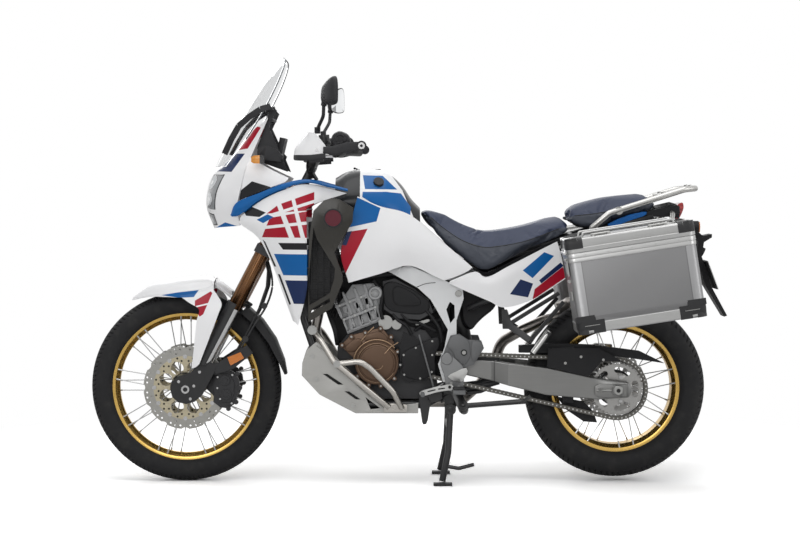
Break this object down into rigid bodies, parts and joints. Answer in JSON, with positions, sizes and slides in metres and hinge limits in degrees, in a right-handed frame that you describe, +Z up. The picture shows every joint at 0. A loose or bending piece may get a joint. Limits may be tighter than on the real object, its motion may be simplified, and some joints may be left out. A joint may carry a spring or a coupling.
{
  "type": "adventure motorcycle",
  "caption": "Tall two-wheeled touring motorcycle with wire wheels, long-travel fork, clear screen, aluminium side boxes, centre stand and side stand.",
  "frame": {"origin": "on the floor under the middle of the box of the motorcycle standing on its centre stand", "axes": "+X rearward along the machine, +Y to the rider's right, +Z up"},
  "size_m": [2.342, 0.9816, 1.558],
  "materials": {
    "tyre_rubber": "matte",
    "gold_rim": "satin",
    "spoke_steel": "satin",
    "disc_steel": "satin",
    "gold_fork": "gloss",
    "fork_black": "satin",
    "black_metal": "satin",
    "white_panel": "gloss",
    "black_plastic": "matte",
    "white_frame": "gloss",
    "engine_grey": "satin",
    "engine_bronze": "satin",
    "engine_black": "matte",
    "exhaust_steel": "satin",
    "skid_aluminium": "satin",
    "bright_tube": "satin",
    "arm_aluminium": "satin",
    "chain_steel": "satin",
    "peg_grey": "satin",
    "blue_panel": "gloss",
    "amber_lens": "gloss",
    "lamp_glass": "gloss",
    "screen_clear": "gloss",
    "seat_cover": "matte",
    "box_aluminium": "satin"
  },
  "bodies": {
    "chassis": {"front_indicators": "amber_lens", "main_frame": "white_frame", "subframe": "black_metal", "engine_block": "engine_black", "cylinder_head": "engine_grey", "engine_covers": "engine_bronze", "exhaust": "exhaust_steel", "skid_plate": "skid_aluminium", "crash_bars": "bright_tube", "radiators": "black_metal", "swingarm": "arm_aluminium", "rear_axle": "black_metal", "chain": "chain_steel", "chain_guards": "black_plastic", "foot_controls": "peg_grey", "fuel_tank": "blue_panel", "knee_panels": "white_panel", "side_fairings": "white_panel", "side_ducts": "black_plastic", "fairing_trim": "blue_panel", "nose_cowl": "white_panel", "headlamps": "lamp_glass", "windscreen": "screen_clear", "screen_mount": "black_plastic", "seat_front": "seat_cover", "seat_rear": "seat_cover", "tail_panels": "white_panel", "rear_mudguard": "black_plastic", "luggage_rack": "bright_tube", "pannier_box_left": "box_aluminium", "pannier_box_right": "box_aluminium"},
    "steering": {"fork_tubes": "gold_fork", "fork_legs": "fork_black", "triple_clamps": "black_metal", "front_fender": "white_panel", "front_brakes": "black_metal", "front_mudflap": "black_plastic", "brake_hoses": "black_plastic", "handlebar": "black_metal", "handguards": "white_panel", "mirrors": "black_plastic"},
    "front_wheel": {"front_tyre": "tyre_rubber", "front_rim": "gold_rim", "front_hub": "spoke_steel", "front_discs": "disc_steel"},
    "rear_wheel": {"rear_tyre": "tyre_rubber", "rear_rim": "gold_rim", "rear_hub": "spoke_steel", "rear_disc": "disc_steel", "rear_sprocket": "disc_steel"},
    "side_stand": {"side_stand": "black_metal"},
    "centre_stand": {"centre_stand": "black_metal"},
    "fuel_cap": {"fuel_cap": "black_plastic"},
    "pannier_lid_left": {"pannier_lid_left": "box_aluminium"},
    "pannier_lid_right": {"pannier_lid_right": "box_aluminium"}
  },
  "joints": [
    {"name": "steering_turn", "type": "hinge", "parent": "chassis", "child": "steering", "pos_m": [-0.76654, 0, 0.32165], "axis": [0.4617, 0, 0.887], "range_deg": [-43, 43]},
    {"name": "front_wheel_spin", "type": "hinge", "parent": "steering", "child": "front_wheel", "pos_m": [-0.821, 0, 0.35], "axis": [0, 1, 0], "continuous": true},
    {"name": "rear_wheel_spin", "type": "hinge", "parent": "chassis", "child": "rear_wheel", "pos_m": [0.759, 0, 0.347], "axis": [0, 1, 0], "continuous": true},
    {"name": "side_stand_fold", "type": "hinge", "parent": "chassis", "child": "side_stand", "pos_m": [0.196, -0.196, 0.296], "axis": [0.063, 0.8915, -0.4485], "range_deg": [0, 108]},
    {"name": "centre_stand_fold", "type": "hinge", "parent": "chassis", "child": "centre_stand", "pos_m": [0.15, 0, 0.276], "axis": [0, -1, 0], "range_deg": [0, 82]},
    {"name": "fuel_cap_open", "type": "hinge", "parent": "chassis", "child": "fuel_cap", "pos_m": [-0.2, 0, 1.153], "axis": [0, -1, 0], "range_deg": [0, 88]},
    {"name": "pannier_lid_left_open", "type": "hinge", "parent": "chassis", "child": "pannier_lid_left", "pos_m": [0.53858, -0.35, 0.85403], "axis": [0, -1, 0], "range_deg": [0, 95]},
    {"name": "pannier_lid_right_open", "type": "hinge", "parent": "chassis", "child": "pannier_lid_right", "pos_m": [0.53858, 0.35, 0.85403], "axis": [0, -1, 0], "range_deg": [0, 95]}
  ]
}
